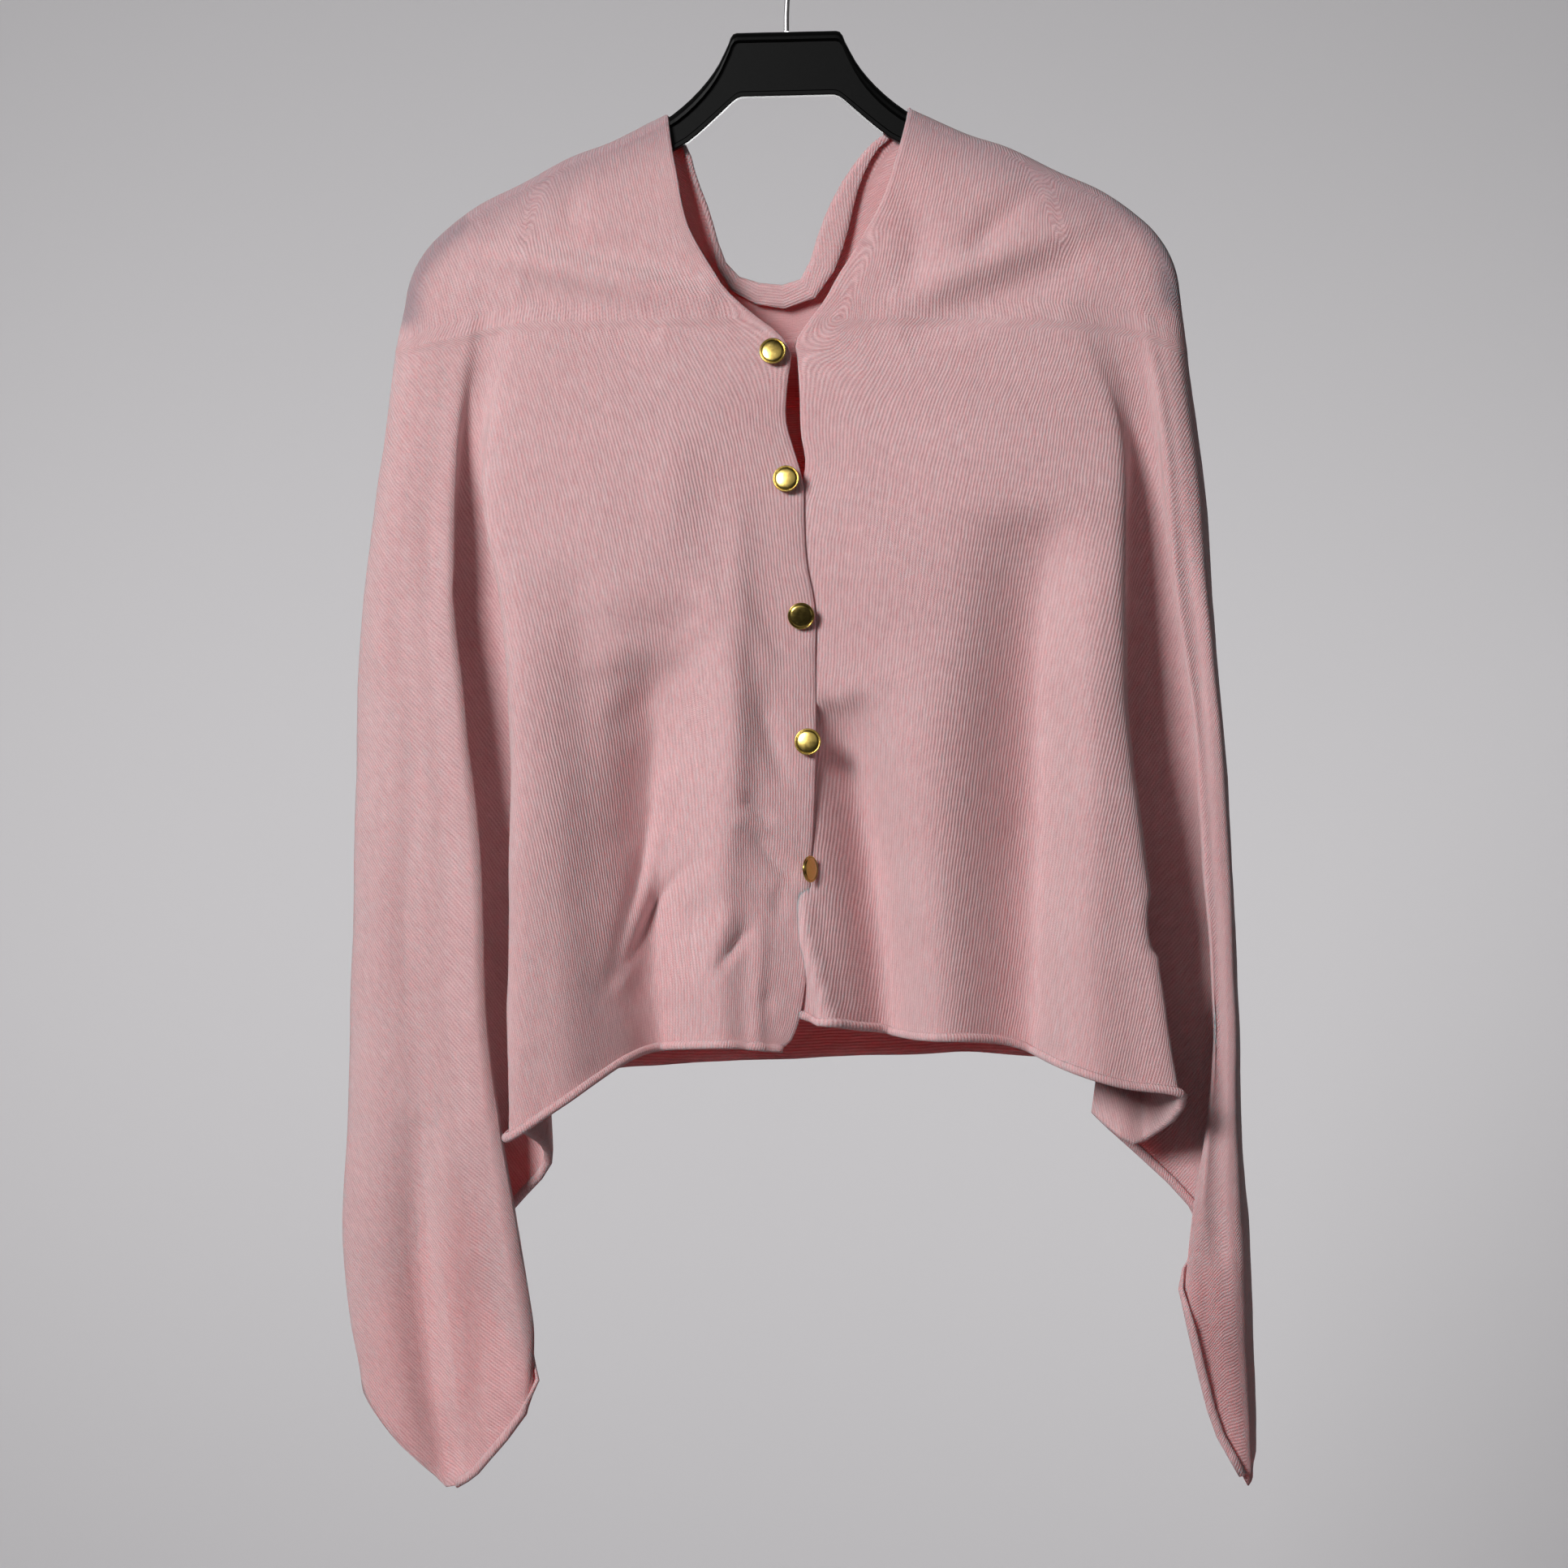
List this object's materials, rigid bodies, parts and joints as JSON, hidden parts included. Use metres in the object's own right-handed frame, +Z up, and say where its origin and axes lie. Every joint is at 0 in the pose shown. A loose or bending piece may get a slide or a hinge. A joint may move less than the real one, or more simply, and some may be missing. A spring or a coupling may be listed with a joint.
{
  "type": "knitted poncho on a hanger",
  "caption": "Fine-knit wrap poncho in pale pink, buttoned down the front with domed metal buttons, hung on a black plastic hanger with a metal hook.",
  "frame": {"origin": "inside top of the hook's bend, where the hanger rests on its rail", "axes": "+Z up, +X to the viewer's right, +Y away from the viewer, so the buttoned front faces -Y"},
  "size_m": [0.5194, 0.1434, 0.9048],
  "materials": {
    "knit": "soft brushed fine knit",
    "button_brass": "polished",
    "hanger_plastic": "satin",
    "hook_steel": "plain"
  },
  "bodies": {
    "root": {"front_left": "knit", "front_right": "knit", "back": "knit", "button_1": "button_brass", "button_2": "button_brass", "button_3": "button_brass", "button_4": "button_brass", "button_5": "button_brass", "hanger_body": "hanger_plastic", "hanger_hook": "hook_steel"}
  },
  "joints": []
}
